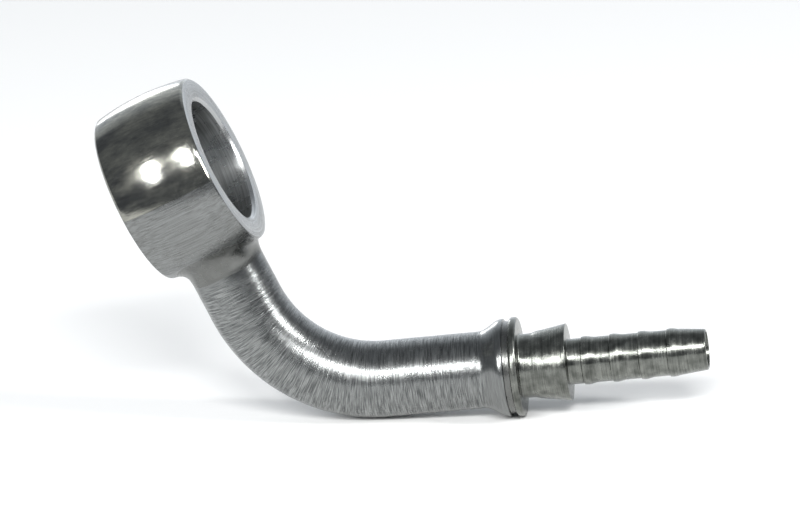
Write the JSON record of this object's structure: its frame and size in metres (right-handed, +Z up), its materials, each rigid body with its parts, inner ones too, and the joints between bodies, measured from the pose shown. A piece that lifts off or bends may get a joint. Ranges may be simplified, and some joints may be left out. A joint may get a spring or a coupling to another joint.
{
  "type": "bent banjo hydraulic hose end",
  "caption": "Bent banjo end for a hydraulic hose: an eye for a hollow bolt, a curved neck tube and a barbed hose nipple, brazed together with a fluid passage right through.",
  "frame": {"origin": "middle of the eye's bore, half way between its two sealing faces", "axes": "+Z up as the part lies on a bench on the underside of its bend and on its flange, +X the way the hose leaves, +Y across; the neck's bend lies in the XZ plane"},
  "size_m": [0.0665, 0.0206, 0.0387],
  "materials": {
    "eye_steel": "turned and polished round, fine turned faces, brushed lower flank",
    "neck_steel": "fine emery marks round the tube",
    "nipple_steel": "bright turned",
    "braze_alloy": "smooth and slightly dull, a little warmer than the steel"
  },
  "bodies": {
    "root": {"banjo_eye": "eye_steel", "eye_braze_fillet": "braze_alloy", "bent_neck_tube": "neck_steel", "shoulder_braze_band": "braze_alloy", "hose_nipple": "nipple_steel"}
  },
  "joints": []
}
